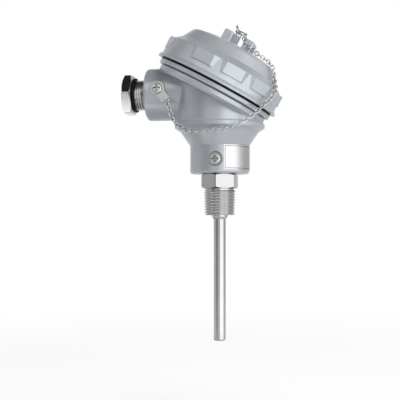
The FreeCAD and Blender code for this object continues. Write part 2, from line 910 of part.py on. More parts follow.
def screw_holes():
    """Threaded holes of the casting, each at its screw's own place."""
    holes = []
    block = S["block_screw_od"] / 2 + S["screw_gap"]
    for side in (-1, 1):
        hole = cylinder("PillarHole", block, S["pillar_height"] + 1.5)
        place(hole, (S["pillar_pitch"] / 2 * side, 0, S["floor_top"] - 1))
        holes.append(hole)
    outer = S["outer_screw_od"] / 2 + S["screw_gap"]

    neck = cylinder("NeckScrewHole", outer, S["neck_od"] / 2)
    place(neck, (0, -S["shank_od"] / 2 - 0.5, S["neck_screw_z"]), (1, 0, 0), 90)
    spot = cylinder("NeckSpotFace", S["spot_od"] / 2, 4)
    place(spot, (0, -neck_seat(), S["neck_screw_z"]), (1, 0, 0), 90)
    holes += [neck, spot]

    tag = cylinder("TagScrewHole", outer, S["tag_screw_length"] + 2)
    place(tag, tag_point(-S["tag_screw_length"] - 0.4), (1, 0, 0), 90 - S["tag_lift"])
    face = cylinder("TagSpotFace", S["tag_spot_od"] / 2, 4)
    place(face, tag_point(0), (1, 0, 0), 90 - S["tag_lift"])
    holes += [tag, face]

    relief = new_body("TagRelief")
    half = S["tag_tail_width"] / 2 + S["tag_relief"]
    turn = S["tag_tail_angle"]
    corners = []
    for along, across in ((0, -half), (S["tag_tail"], -half), (S["tag_tail"], half), (0, half)):
        along = as_size(along)
        corners.append((
            along * cosine(turn) - across * sine(turn),
            along * sine(turn) + across * cosine(turn),
        ))
    padded(relief, "TagReliefPad", corners, 4)
    holes.append(place(relief, tag_point(0), (1, 0, 0), 90 - S["tag_lift"]))

    earth = cylinder("EarthHole", outer, S["earth_screw_length"] + 1.4)
    place(earth, (0, earth_seat() - 1, S["earth_z"]), (1, 0, 0), -90)
    holes.append(earth)
    return holes


def neck_seat():
    """Distance of the neck screw's spot face from the probe axis."""
    return S["neck_od"] / 2 - S["spot_depth"]


def earth_seat():
    """Distance of the earth pad's face from the probe axis."""
    return S["body_od"] / 2 - S["body_wall"] - S["earth_pad_reach"]


def tag_point(out):
    """A point on the tag screw's axis, this far out of its spot face."""
    radius = S["boss_od"] / 2 - S["spot_depth"] + out
    return (
        S["boss_face"] + S["tag_along"],
        -radius * cosine(S["tag_lift"]),
        S["boss_z"] + radius * sine(S["tag_lift"]),
    )


# Cross-recess screws and washers on the outside, and the inner earth screw

def cross_screw(name, length):
    """Round-head screw with a cross recess."""
    head = S["outer_head_od"] / 2
    high = S["outer_head_height"]
    shank = S["outer_screw_od"] / 2
    body = new_body(name)
    turn = turned(body, name + "Turn", [
        (0, -length),
        (shank - 0.4, -length),
        (shank, 0.4 - length),
        (shank, 0),
        (head, 0),
        (head, high),
        (0, high),
    ])
    rounded(body, name + "Head", turn, ring_edges(turn, head, high), S["outer_head_round"])
    arm = S["outer_cross_span"] / 2
    slot = S["outer_cross_width"] / 2
    for order, (wide, tall) in enumerate(((arm, slot), (slot, arm))):
        padded(body, f"{name}Cross{order}", [
            (-wide, -tall), (wide, -tall), (wide, tall), (-wide, tall),
        ], S["outer_cross_depth"], lift=high, kind="Pocket")
    return body


def washer(name):
    body = new_body(name)
    hole = S["outer_screw_od"] / 2 + 0.15
    outside = S["outer_washer_od"] / 2
    turned(body, name + "Turn", [
        (hole, 0), (outside, 0), (outside, S["outer_washer_thick"]), (hole, S["outer_washer_thick"]),
    ])
    return body


def make_outer_screws():
    thick = S["outer_washer_thick"]
    seat = neck_seat()
    disc = place(washer("NeckWasher"), (0, -seat, S["neck_screw_z"]), (1, 0, 0), 90)
    keep("neck_screw_washer", disc)
    screw = cross_screw("NeckScrew", S["neck_screw_length"])
    keep("neck_screw", place(screw, (0, -seat - thick, S["neck_screw_z"]), (1, 0, 0), 90))

    lean = 90 - S["tag_lift"]
    screw = cross_screw("TagScrew", S["tag_screw_length"])
    keep("chain_tag_screw", place(screw, tag_point(S["tag_thick"]), (1, 0, 0), lean))

    seat = earth_seat()
    disc = place(washer("EarthWasher"), (0, seat, S["earth_z"]), (1, 0, 0), 90)
    keep("earth_washer", disc)
    screw = cross_screw("EarthScrew", S["earth_screw_length"])
    keep("earth_screw", place(screw, (0, seat - thick, S["earth_z"]), (1, 0, 0), 90))


def tag_frame():
    """Local frame of the chain tag: X along the boss, Z out of its spot face."""
    spot = Vector(*[float(v) for v in tag_point(as_size(0))])
    return Placement(spot, Rotation(Vector(1, 0, 0), 90 - SIZES["tag_lift"]))


def tag_lip_place():
    """Frame at the fold of the tag: X along the bent lip, Z through its hole."""
    tail = Placement(Vector(), Rotation(Vector(0, 0, 1), SIZES["tag_tail_angle"]))
    fold = Placement(
        Vector(SIZES["tag_tail"], 0, 0), Rotation(Vector(0, 1, 0), -SIZES["tag_bend"]))
    return tag_frame().multiply(tail).multiply(fold)


def make_tag():
    """Flat tag under the screw, with a folded lip that holds the chain's first link."""
    thick = SIZES["tag_thick"]
    wide = SIZES["tag_tail_width"]
    eye = Part.makeCylinder(SIZES["tag_eye_od"] / 2, thick)
    tail = Part.makeBox(SIZES["tag_tail"], wide, thick, Vector(0, -wide / 2, 0))
    tail.rotate(Vector(), Vector(0, 0, 1), SIZES["tag_tail_angle"])
    screw = Part.makeCylinder(SIZES["outer_screw_od"] / 2 + 0.2, thick + 2, Vector(0, 0, -1))
    flat = eye.fuse(tail).cut(screw)
    flat.Placement = tag_frame()

    reach = SIZES["tag_lip"]
    lip = Part.makeBox(reach, wide, thick, Vector(0, -wide / 2, 0))
    outer = [edge for edge in lip.Edges if edge.CenterOfMass.x > reach - 0.01
             and abs(abs(edge.CenterOfMass.y) - wide / 2) < 0.01]
    lip = lip.makeFillet(SIZES["tag_corner"], outer)
    hole = Part.makeCylinder(
        SIZES["tag_hole"] / 2, thick + 2, Vector(SIZES["tag_hole_reach"], 0, -1))
    corner = Part.makeCylinder(thick, wide, Vector(0, -wide / 2, 0), Vector(0, 1, 0))
    bent = lip.cut(hole)
    bent.Placement = tag_lip_place()
    corner.Placement = tag_lip_place()
    wide_block = SIZES["boss_od"]
    corner_spot = Vector(-wide_block / 2, -wide_block / 2, -wide_block)
    below = Part.makeBox(wide_block, wide_block, wide_block, corner_spot)
    below.Placement = tag_frame()
    whole = flat.fuse([bent, corner.cut(below)]).removeSplitter()
    tag = doc.addObject("Part::Feature", "ChainTag")
    tag.Shape = whole
    keep("chain_tag", tag)


# Screw cap, gasket and the eye that holds the chain

def dome_radius():
    edge = S["crown_od"] / 2
    rise = S["dome_rise"]
    return (edge * edge + rise * rise) / (2 * rise)


def dome_height(radius, inset=0):
    """Height of the dome above the flange at this distance from the cap's axis."""
    sphere = dome_radius()
    inner = sphere - inset
    return S["crown_top"] + S["dome_rise"] - sphere + root(inner * inner - radius * radius)


def make_gasket():
    inner = S["spigot_od"] / 2 + S["gasket_gap"]
    outer = S["gasket_od"] / 2
    ring = new_body("Gasket")
    turned(ring, "GasketTurn", [
        (inner, 0), (outer, 0), (outer, S["gasket_thick"]), (inner, S["gasket_thick"]),
    ])
    keep("cap_gasket", on_cap(ring))


def make_cap():
    base = S["gasket_thick"]
    wall = S["cap_wall"]
    thread = S["spigot_od"] / 2 + S["cap_clearance"]
    shoulder = S["cap_shoulder_od"] / 2
    crown = S["crown_od"] / 2
    skirt = S["skirt_od"] / 2
    inner_crown = crown - wall
    cap = new_body("Cap")
    shell = turned(cap, "CapShell", [
        (inner_crown, dome_height(inner_crown, wall), dome_radius() - wall),
        (0, S["crown_top"] + S["dome_rise"] - wall),
        (0, S["crown_top"] + S["dome_rise"], -dome_radius()),
        (crown, S["crown_top"]),
        (shoulder, S["cap_shoulder_top"]),
        (skirt, S["skirt_top"]),
        (S["skirt_foot_od"] / 2, S["skirt_base"]),
        (S["lip_od"] / 2, base + S["lip_height"]),
        (S["lip_od"] / 2, base),
        (thread, base),
        (thread, S["skirt_top"] - wall * 0.4),
        (shoulder - wall, S["cap_shoulder_top"] - wall * 0.4),
    ])
    rounded(cap, "CrownRound", shell, ring_edges(shell, crown, S["crown_top"]), S["crown_round"])
    make_grip_pads(cap, shell)
    make_lugs(cap)
    keep("screw_cap", on_cap(cap))


def make_grip_pads(cap, shell):
    """Nine raised grips round the skirt: every fourth place of a ring of twelve stays empty."""
    skirt = S["skirt_od"] / 2
    inner = skirt - 1
    outer = skirt + S["pad_proud"]
    half = S["pad_width"] / 2
    foot = half + S["pad_flare"] / 2 * (outer - inner) / S["pad_proud"]
    pads = []
    for order in (-1, 0, 1):
        turn = S["pad_pitch"] * order + S["pad_phase"] - 90
        corners = []
        for reach, across in ((inner, -foot), (outer, -half), (outer, half), (inner, foot)):
            corners.append((
                reach * cosine(turn) - across * sine(turn),
                reach * sine(turn) + across * cosine(turn),
            ))
        pads.append(padded(cap, f"GripPad{order + 2}", corners,
                           S["pad_top"] - S["pad_base"], lift=S["pad_base"]))
        doc.recompute()
    row = cap.newObject("PartDesign::PolarPattern", "GripPadRow")
    row.Originals = pads
    row.Axis = (shell.Profile[0], ["V_Axis"])
    row.Angle = 360
    row.Occurrences = 3
    cap.Tip = row


def edges_where(feature, test):
    doc.recompute()
    return [f"Edge{i}" for i, edge in enumerate(feature.Shape.Edges, start=1) if test(edge)]


def make_lugs(cap):
    """Two wing lugs across the dome, with a thin eye between them for the chain's ring."""
    half = S["lug_width"] / 2
    low = S["crown_top"] + S["dome_rise"] - S["cap_wall"] * 0.6
    top = float(S["lug_top"])
    rows = ((S["lug_start"], S["lug_slot_start"]), (S["lug_slot_end"], S["lug_end"]))
    for order, (start, end) in enumerate(rows):
        lug = padded(cap, f"Lug{order}", [
            (start, -half), (end, -half), (end, half), (start, half),
        ], S["lug_top"] - low, lift=low)
        spots = (float(start), float(end))

        def is_rim(edge):
            box = edge.BoundBox
            inside = spots[0] - 0.01 < box.XMin and box.XMax < spots[1] + 0.01
            upright = box.XLength < 1e-4 and box.YLength < 1e-4 and box.ZMax > top - 1e-3
            return inside and (upright or box.ZMin > top - 1e-3)

        rounded(cap, f"LugRound{order}", lug, edges_where(lug, is_rim), S["lug_round"])
    make_eye(cap, low)


def make_eye(cap, low):
    """Thin plate in the slot between the lugs, with a round top and a hole for the ring."""
    wide = S["eye_width"] / 2
    middle = S["eye_along"]
    crest = S["eye_height"] + wide
    eye = padded(cap, "ChainEye", [
        (middle - wide, low), (middle + wide, low), (middle + wide, crest), (middle - wide, crest),
    ], S["eye_thick"], role="XZ_Plane", both=True)
    top = float(crest)

    def is_corner(edge):
        box = edge.BoundBox
        return box.ZMin > top - 1e-3 and box.XLength < 1e-4

    rounded(cap, "ChainEyeRound", eye, edges_where(eye, is_corner), wide * 0.96)
    doc.recompute()
    cross_hole(cap, "ChainEyeHole", (middle, S["eye_height"]), S["eye_hole"] / 2,
               S["eye_thick"] * 3)


# Ring and long link that join the chain to the cap's eye

def cap_frame():
    spot = Vector(*[float(v) for v in in_cap_frame(as_size(0), as_size(0))])
    return Placement(spot, Rotation(Vector(0, 1, 0), SIZES["cap_tilt"]))


def across_to(vector, along):
    """The part of a vector that stands square to another, as a unit vector."""
    return (vector - along * (vector.dot(along) / along.Length ** 2)).normalize()


def hook_ends():
    """Middles of the long link's two end bars, in the cap's frame: along, across, up."""
    eye = Vector(SIZES["eye_along"], 0, SIZES["eye_height"])
    near = eye + Vector(-1.8, -3.2, 1.1)
    away = Vector(8.4, -5.4, -0.6).normalize() * (SIZES["hook_length"] - SIZES["hook_wire"])
    return near, near + away


def ring_lie():
    """Ring's middle, its axis, and its wire's direction where it holds the long link."""
    near, far = hook_ends()
    eye = Vector(SIZES["eye_along"], 0, SIZES["eye_height"])
    reach = (SIZES["hook_wire"] + SIZES["ring_wire"]) / 2 + SIZES["joint_slack"]
    held = near + (far - near).normalize() * reach
    chord = held - eye
    lean = across_to(Vector(-0.6, 0, 0.8), chord)
    rise = math.sqrt((SIZES["ring_mean_od"] / 2) ** 2 - chord.Length ** 2 / 4)
    middle = (held + eye) / 2 + lean * rise
    axis = chord.cross(lean).normalize()
    return middle, axis, axis.cross(held - middle).normalize()


def hook_turn():
    """How the long link lies: X along it, Z square to its plane, where ring and chain pass."""
    near, far = hook_ends()
    along = (far - near).normalize()
    return Rotation(along, Vector(), across_to(ring_lie()[2], along), "ZXY")


def make_ring():
    """Round wire ring through the eye's hole and the long link's near end."""
    middle, axis, _ = ring_lie()
    ring = doc.addObject("Part::Torus", "CapRing")
    for key, value in (("Radius1", S["ring_mean_od"] / 2), ("Radius2", S["ring_wire"] / 2)):
        setattr(ring, key, value.number)
        ring.setExpression(key, value.formula)
    ring.Placement = cap_frame().multiply(Placement(middle, Rotation(Vector(0, 0, 1), axis)))
    keep("cap_ring", ring)


def wire_link(length, width, wire, corner_steps, sides):
    """Long link of round wire as flat facets: an oval path with a regular section."""
    bend = (width - wire) / 2
    straight = (length - wire) / 2 - bend
    path = []
    for end in (1, -1):
        for step in range(corner_steps + 1):
            angle = math.pi * (step / corner_steps - 0.5) + (0 if end > 0 else math.pi)
            middle = Vector(end * straight, 0, 0)
            path.append((middle, Vector(math.cos(angle), math.sin(angle), 0)))
    rings = []
    half_step = math.pi / corner_steps / 2
    for number, (middle, out) in enumerate(path):
        ring = []
        for side_number in range(sides):
            angle = 2 * math.pi * (side_number + 0.5) / sides
            reach = bend / math.cos(half_step) + wire / 2 * math.cos(angle)
            ring.append(middle + out * reach + Vector(0, 0, wire / 2 * math.sin(angle)))
        rings.append(ring)
    faces = []
    for number, ring in enumerate(rings):
        following = rings[(number + 1) % len(rings)]
        for i in range(sides):
            j = (i + 1) % sides
            corners = [ring[i], following[i], following[j], ring[j], ring[i]]
            faces.append(Part.Face(Part.makePolygon(corners)))
    link = Part.Solid(Part.Shell(faces))
    if link.Volume < 0:
        link.reverse()
    return link


def make_hook():
    near, far = hook_ends()
    hook = doc.addObject("Part::Feature", "ChainHook")
    hook.Shape = wire_link(SIZES["hook_length"], SIZES["hook_width"], SIZES["hook_wire"], 6, 8)
    hook.Placement = cap_frame().multiply(Placement((near + far) / 2, hook_turn()))
    keep("chain_hook", hook)


# Safety chain: its way is chosen by hand, and the links follow it at their pitch

def cap_radius(height):
    """Outside radius of the cap's skirt, shoulder or cone at this height, without its grips."""
    rows = [
        (SIZES["gasket_thick"] + SIZES["lip_height"], SIZES["lip_od"] / 2),
        (SIZES["skirt_base"], SIZES["skirt_foot_od"] / 2),
        (SIZES["skirt_top"], SIZES["skirt_od"] / 2),
        (SIZES["cap_shoulder_top"], SIZES["cap_shoulder_od"] / 2),
        (SIZES["crown_top"], SIZES["crown_od"] / 2),
    ]
    for (low, wide), (high, narrow) in zip(rows, rows[1:]):
        if height <= high:
            return wide + (narrow - wide) * (height - low) / (high - low)
    return rows[-1][1]


def chain_way():
    """Points of the chain's middle line, from the tag's lip to the long link."""
    lip = tag_lip_place()
    reach = SIZES["tag_hole_reach"]
    start = lip.multVec(Vector(reach, 0, SIZES["tag_thick"] / 2))
    onward = lip.multVec(Vector(reach + SIZES["link_pitch"] * 1.4, 0, SIZES["tag_thick"] / 2))

    # hanging in front of the head: azimuth from -Y towards +X, stand-off from the shoulder, height
    shoulder = SIZES["shoulder_od"] / 2
    hang = [
        (-51.8, 5.9, 46.2), (-49.0, 4.9, 42.6), (-44.6, 3.4, 39.3),
        (-37.1, 2.4, 37.0), (-28.9, 1.9, 35.5), (-18.6, 2.0, 34.9), (-9.7, 1.9, 35.0),
        (-1.8, 1.9, 35.4), (6.6, 2.4, 36.0), (15.0, 3.5, 36.8), (22.3, 5.0, 38.1),
        (29.1, 6.4, 40.0), (35.0, 8.0, 42.4), (40.6, 9.4, 45.2),
    ]
    points = [start, onward]
    for azimuth, stand, height in hang:
        angle = math.radians(azimuth)
        radius = shoulder + stand
        points.append(Vector(radius * math.sin(angle), -radius * math.cos(angle), height))

    # up the cap's skirt and cone: azimuth in the cap's frame, height, stand-off
    climb = [
        (53.0, -1.0, 2.6), (57.0, 3.6, 2.4), (60.2, 8.1, 3.8), (61.5, 13.0, 4.3),
        (65.5, 17.9, 3.5), (68.0, 22.2, 2.6), (66.5, 26.0, 2.5),
    ]
    frame = cap_frame()
    for azimuth, height, stand in climb:
        angle = math.radians(azimuth)
        radius = cap_radius(max(height, SIZES["lip_height"] + SIZES["gasket_thick"])) + stand
        spot = Vector(radius * math.sin(angle), -radius * math.cos(angle), height)
        points.append(frame.multVec(spot))

    # across the dome: along the slope and across it, lying on the dome
    for along, across in ((26.0, -14.8), (23.4, -17.6), (20.2, -19.4), (16.2, -18.6),
                          (12.0, -15.4), (8.0, -12.8)):
        height = dome_height(as_size(math.hypot(along, across))).number + SIZES["chain_stand"]
        points.append(frame.multVec(Vector(along, across, height)))
    near, far = hook_ends()
    reach = (SIZES["hook_wire"] + SIZES["link_wire"]) / 2 + SIZES["joint_slack"]
    points.append(frame.multVec(far + Vector(0.9, -2.6, -3.2)))
    points.append(frame.multVec(far + (near - far).normalize() * reach))
    return points


def chain_out(spot, number, count):
    """Direction in which a link's outer side faces: off the head, the cap, or the piece it joins."""
    frame = cap_frame()
    local = frame.inverse().multVec(spot)
    if local.z < SIZES["gasket_thick"]:
        out = Vector(spot.x, spot.y, 0).normalize()
    else:
        rise = (local.z - SIZES["skirt_top"]) / (SIZES["crown_top"] - SIZES["skirt_top"])
        up = min(1.0, max(0.0, rise))
        side_way = Vector(local.x, local.y, 0).normalize()
        out = frame.Rotation.multVec(side_way * (1 - up) + Vector(0, 0, up))
    joins = (
        (number, tag_lip_place().Rotation.multVec(Vector(0, 0, 1))),
        (count - 1 - number, (frame.Rotation * hook_turn()).multVec(Vector(0, 0, 1))),
    )
    for steps, held in joins:
        share = max(0.0, 1 - steps / 4)
        held = held if held.dot(out) > 0 else -held
        out = out * (1 - share) + held * share
    return out


def make_chain():
    way = Part.BSplineCurve()
    way.interpolate(chain_way())
    line = way.toShape()
    inner = SIZES["link_pitch"] + SIZES["link_slack"]
    wire = SIZES["link_wire"]
    half = (inner + wire) / 2
    count = 2 * int((line.Length - 2 * half) / SIZES["link_pitch"] / 2) + 1
    pitch = (line.Length - 2 * half) / (count - 1)
    link = wire_link(inner + 2 * wire, SIZES["link_width"], wire, 4, 6)
    links = []
    for number in range(count):
        middle = half + number * pitch
        ends = [line.valueAt(way.parameterAtDistance(middle + reach, way.FirstParameter))
                for reach in (-pitch / 2, pitch / 2)]
        along = (ends[1] - ends[0]).normalize()
        spot = (ends[0] + ends[1]) / 2
        out = across_to(chain_out(spot, number, count), along)
        flat = number % 2 == 1
        normal = out if flat else along.cross(out)
        piece = link.copy()
        piece.Placement = Placement(spot, Rotation(along, Vector(), normal, "ZXY"))
        links.append(piece)
    chain = doc.addObject("Part::Feature", "SafetyChain")
    chain.Shape = Part.Compound(links)
    print("chain links:", count, "way length:", round(line.Length, 1), "pitch:", round(pitch, 3))
    keep("safety_chain", chain)


# Cable entry: hollow pressure screw, rubber ring, thrust washer and grommet

def make_gland():
    thread = S["gland_thread"] / 2
    neck = S["gland_exposed"] + S["o_ring_thick"]
    top = neck + S["gland_head"]
    flats = S["gland_flats"]
    corner = flats / math.sqrt(3)
    slope = (corner - flats / 2) * math.tan(math.radians(30))
    blank = new_body("GlandBlank")
    turned(blank, "GlandBlankTurn", [
        (0, neck),
        (flats / 2 - 0.3, neck),
        (corner, neck + slope + 0.2),
        (corner, top - slope - 0.2),
        (flats / 2 - 0.3, top),
        (0, top),
    ])
    bar = place(prism("GlandBar", flats, S["gland_head"]), (0, 0, neck), (0, 0, 1), S["gland_turn"])
    head = common("GlandHead", [blank, bar])
    stem = new_body("GlandStem")
    chamfer = S["gland_chamfer"]
    turned(stem, "GlandStemTurn", [
        (0, -S["gland_engaged"]),
        (thread - chamfer, -S["gland_engaged"]),
        (thread, chamfer - S["gland_engaged"]),
        (thread, neck + 0.5),
        (0, neck + 0.5),
    ])
    bore = cylinder("GlandBore", S["gland_bore"] / 2, top + S["gland_engaged"] + 2)
    place(bore, (0, 0, -S["gland_engaged"] - 1))
    keep("gland_screw", on_boss(cut("GlandBored", fused("GlandSolid", [head, stem]), bore)))

    ring = new_body("GlandRing")
    outer = S["o_ring_od"] / 2
    turn = turned(ring, "GlandRingTurn", [
        (thread + S["thread_gap"], S["gland_exposed"]),
        (outer, S["gland_exposed"]),
        (outer, neck),
        (thread + S["thread_gap"], neck),
    ])
    edges = ring_edges(turn, outer, S["gland_exposed"]) + ring_edges(turn, outer, neck)
    rounded(ring, "GlandRingRound", turn, edges, S["o_ring_round"])
    keep("gland_o_ring", on_boss(ring))

    radius = thread + S["thread_gap"] - S["grommet_gap"]
    seat = -gland_seat_depth()
    packing = new_body("Grommet")
    turned(packing, "GrommetTurn", [
        (S["grommet_bore"] / 2, seat),
        (radius, seat),
        (radius, seat + S["grommet_length"]),
        (S["grommet_bore"] / 2, seat + S["grommet_length"]),
    ])
    keep("gland_grommet", on_boss(packing))
    disc = new_body("GlandWasher")
    low = seat + S["grommet_length"]
    high = low + S["gland_washer_thick"]
    hole = S["grommet_bore"] / 2 + 1
    turned(disc, "GlandWasherTurn", [(hole, low), (radius, low), (radius, high), (hole, high)])
    keep("gland_washer", on_boss(disc))


# Blank name plate, bent round the neck

def make_plate():
    inner = S["neck_od"] / 2 + S["weld_gap"]
    outer = inner + S["plate_thick"]
    plate = new_body("NamePlate")
    strip = turned(plate, "NamePlateTurn", [
        (inner, S["plate_base"]),
        (outer, S["plate_base"]),
        (outer, S["plate_top"]),
        (inner, S["plate_top"]),
    ])
    strip.Angle = SIZES["plate_sweep"]
    strip.setExpression("Angle", S["plate_sweep"].formula)
    keep("name_plate", place(plate, (0, 0, 0), (0, 0, 1), S["plate_start"] + 270))


def build():
    make_fitting()
    make_wires(make_probe())
    make_terminals()
    make_head()
    make_outer_screws()
    make_tag()
    make_gasket()
    make_cap()
    make_ring()
    make_hook()
    make_chain()
    make_gland()
    make_plate()


def check():
    """Stops if any object failed or any sub-part has no sound shape."""
    doc.recompute()
    for thing in doc.Objects:
        if "Invalid" in thing.State or "Error" in thing.State:
            raise RuntimeError(f"{thing.Label} failed: {thing.State}")
    for name, thing in PARTS.items():
        if thing.Shape.isNull() or not thing.Shape.isValid() or not thing.Shape.Solids:
            raise RuntimeError(f"{name} has no sound shape")


def write():
    os.makedirs("parts", exist_ok=True)
    for name, thing in PARTS.items():
        thing.Shape.exportStep(f"parts/{name}.step")
        print(name, len(thing.Shape.Solids), "solids,", round(thing.Shape.Volume, 1), "mm3")


build()
check()
write()
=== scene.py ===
import json
import math

import bmesh
import bpy
import numpy as np
from mathutils import Matrix, Vector


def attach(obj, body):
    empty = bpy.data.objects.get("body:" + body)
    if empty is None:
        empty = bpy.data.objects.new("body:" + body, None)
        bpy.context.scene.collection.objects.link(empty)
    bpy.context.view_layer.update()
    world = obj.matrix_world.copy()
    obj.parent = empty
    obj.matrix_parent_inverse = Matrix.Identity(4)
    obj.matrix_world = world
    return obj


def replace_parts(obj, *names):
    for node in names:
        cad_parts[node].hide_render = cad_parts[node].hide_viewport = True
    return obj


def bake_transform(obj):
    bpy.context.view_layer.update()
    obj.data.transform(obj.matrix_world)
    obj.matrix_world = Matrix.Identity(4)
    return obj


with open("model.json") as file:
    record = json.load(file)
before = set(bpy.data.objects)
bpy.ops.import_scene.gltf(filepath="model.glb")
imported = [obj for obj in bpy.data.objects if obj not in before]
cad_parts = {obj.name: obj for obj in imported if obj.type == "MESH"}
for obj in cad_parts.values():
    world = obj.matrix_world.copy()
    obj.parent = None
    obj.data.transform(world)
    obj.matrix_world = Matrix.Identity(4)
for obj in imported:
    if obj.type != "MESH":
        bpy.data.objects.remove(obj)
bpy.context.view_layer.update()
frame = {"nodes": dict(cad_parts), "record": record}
NODES = frame["nodes"]
RECORD = frame["record"]
MM = 0.001

# Pieces that are finer than their solids: lengths in millimetres, angles in degrees
HEX_STEPS = 144
ROUND_STEPS = 96
SHARP_EDGE = 32.0
WELD_METRES = 1e-7

HEX = {"flats": 22.0, "height": 9.8, "turn": 26.3, "land": 0.35}
GLAND_HEX = {"flats": 25.0, "height": 6.37, "base": 9.23, "turn": 31.5, "land": 0.35}
HEX_CHAMFER = 30.0
HEX_CORNER_CUT = 0.15

PROCESS_THREAD = {
    "od": 21.3, "pitch": 1.814, "depth": 1.05, "top": -1.0, "low": -17.4, "taper": 1 / 16,
}
GLAND_THREAD = {"od": 20.0, "pitch": 1.5, "depth": 0.85, "top": 7.36, "low": -7.5, "taper": 0.0}
THREAD_STEPS = 72
THREAD_ROWS = 8
THREAD_CHAMFER = 1.2
# shares of half a pitch
THREAD_CREST = 0.2
THREAD_FLANK = 0.6

# The fitting's core lies under its thread, and its shank has a relief groove over the hexagon
CORE_SUNK = 0.3
CORE_END = 0.2
UNDERSIDE_SUNK = 0.4
FITTING_BORE = 3.82
SHANK = {
    "radius": 10.0, "top": 25.8, "chamfer": 1.0, "groove": 0.8, "groove_top": 1.2, "thread": 2.0,
}
WELD_COLLAR = {
    "low": -20.0, "radius": 5.3, "foot": 4.2, "round": 0.2, "slope_top": 1.3, "round_top": 1.7,
}

# The gland's mouth: how much wider than the bore, and how far under the outer face
GLAND_BORE = 6.5
GLAND_MOUTH = [(1.6, 0.0), (0.5, 0.3), (0.0, 0.8)]
GLAND_END_SUNK = 0.2
GLAND_NECK_OVERLAP = 0.1

# Cable entry: where the boss ends along X, and the height of its axis
BOSS_FACE = -48.2
BOSS_HEIGHT = 62.7

# Links of round wire
CHAIN_LINK = {"wire": 0.7, "bend_steps": 9, "sides": 12}
HOOK_LINK = {"wire": 0.8, "bend_steps": 10, "sides": 14}
LINK_WELD_METRES = 2e-6

# The printed line inside the edge of the blank plate
PLATE = {
    "radius": 19.82, "low": 11.9, "high": 27.8, "turn": 62.0, "sweep": 92.0,
    "inset": 0.9, "line": 0.3, "blur": 0.4, "ink": 0.12,
}

# Camera, in metres and in pixels of the photograph
CAMERA_AZIMUTH = 8.5
CAMERA_DISTANCE = 0.575
CAMERA_HEIGHT = -0.020
FRAME_PX = 400
FOCAL_PX = 871.2
MIDDLE_PX = (219.7, 219.1)
SENSOR_WIDTH = 36.0

# Studio: brightness all round at eye height, by degrees to the right of the camera's own side
RING_PEAK = 2.2
STUDIO_RING = [
    (-180, 1.00), (-140, 0.82), (-112, 0.68), (-90, 0.68), (-72, 0.40), (-58, 0.24), (-46, 0.17),
    (-34, 0.66), (-12, 0.60), (0, 0.80), (8, 1.40), (20, 2.20), (34, 1.70), (48, 1.85), (64, 1.90),
    (80, 0.90), (105, 0.55), (140, 0.60), (180, 1.00),
]

# Smooth steps of the studio: from, to, value before, value after. The first three go by the height
# of a direction, from 0 for level to 1 for straight up, and the other two by its azimuth.
RING_TO_CEILING = (0.42, 0.80, 1.0, 0.13)
SOFT_BOX_LOW = (0.30, 0.42, 0.0, 1.0)
SOFT_BOX_HIGH = (0.66, 0.78, 1.0, 0.0)
SOFT_BOX_LEFT = (-95, -75, 0.0, 1.0)
SOFT_BOX_RIGHT = (5, 20, 1.0, 0.0)
SOFT_BOX_LEVEL = 0.75

# Floor: millimetres for its mesh, and metres for the smooth steps on it. FLOOR_WHITE and
# FLOOR_TO_RING go by the distance from the frame's origin, FLOOR_LEVEL and CARD_LEVEL by X, and
# CARD_DEPTH by how far Y is from CARD_MIDDLE.
FLOOR_HEIGHT = -150.0
FLOOR_HALF = 4000.0
FLOOR_MIRROR = 0.8
FLOOR_WHITE = (0.25, 0.70, 0.80, 1.0)
FLOOR_TO_RING = (0.26, 0.46, 0.0, 1.0)
FLOOR_LEVEL = (-0.03, 0.05, 0.34, 0.60)
CARD_MIDDLE = -0.140
CARD_DEPTH = (0.035, 0.070, 1.0, 0.0)
CARD_LEVEL = (-0.115, -0.095, 1.0, 0.34)

# Lamps: place in metres and power in watts
LAMP_SIZE = 0.5
LAMP_SPREAD = 120.0
LAMP_TARGET = (0, 0, 0.05)
LAMPS = {
    "top": ((0.15, -0.10, 0.9), 2.2),
    "key": ((0.62, -0.62, 0.5), 1.9),
    "fill": ((-0.62, -0.50, 0.5), 0.5),
    "rim": ((0.70, 0.30, 0.3), 1.4),
}


# Mesh helpers: a shape is a list of vertices in millimetres and a list of faces

def new_object(name, vertices, faces, smooth=True):
    """A mesh object from vertices in millimetres in the row frame."""
    mesh = bpy.data.meshes.new(name)
    mesh.from_pydata([tuple(c * MM for c in v) for v in vertices], [], faces)
    mesh.validate()
    build = bmesh.new()
    build.from_mesh(mesh)
    bmesh.ops.remove_doubles(build, verts=build.verts, dist=WELD_METRES)
    bmesh.ops.dissolve_degenerate(build, dist=WELD_METRES, edges=build.edges)
    bmesh.ops.recalc_face_normals(build, faces=build.faces)
    build.to_mesh(mesh)
    build.free()
    obj = bpy.data.objects.new(name, mesh)
    bpy.context.scene.collection.objects.link(obj)
    if smooth:
        shade(obj)
    return obj


def shade(obj):
    """Smooth shading that keeps sharp edges."""
    mesh = obj.data
    mesh.shade_smooth()
    build = bmesh.new()
    build.from_mesh(mesh)
    for edge in build.edges:
        if len(edge.link_faces) == 2 and edge.calc_face_angle(0.0) > math.radians(SHARP_EDGE):
            edge.smooth = False
    build.to_mesh(mesh)
    build.free()


def lathe(rings, steps):
    """A turned form: rings are pairs of radius and height, each a number or made from the angle."""
    vertices = []
    faces = []
    for radius, height in rings:
        for step in range(steps):
            angle = 2 * math.pi * step / steps
            r = radius(angle) if callable(radius) else radius
            z = height(angle) if callable(height) else height
            vertices.append((r * math.cos(angle), r * math.sin(angle), z))
    for ring in range(len(rings) - 1):
        low = ring * steps
        high = low + steps
        for step in range(steps):
            after = (step + 1) % steps
            faces.append((low + step, low + after, high + after, high + step))
    return vertices, faces


def joined(*shapes):
    """One shape from several."""
    vertices = []
    faces = []
    for more, corners in shapes:
        start = len(vertices)
        vertices += more
        faces += [tuple(start + i for i in face) for face in corners]
    return vertices, faces


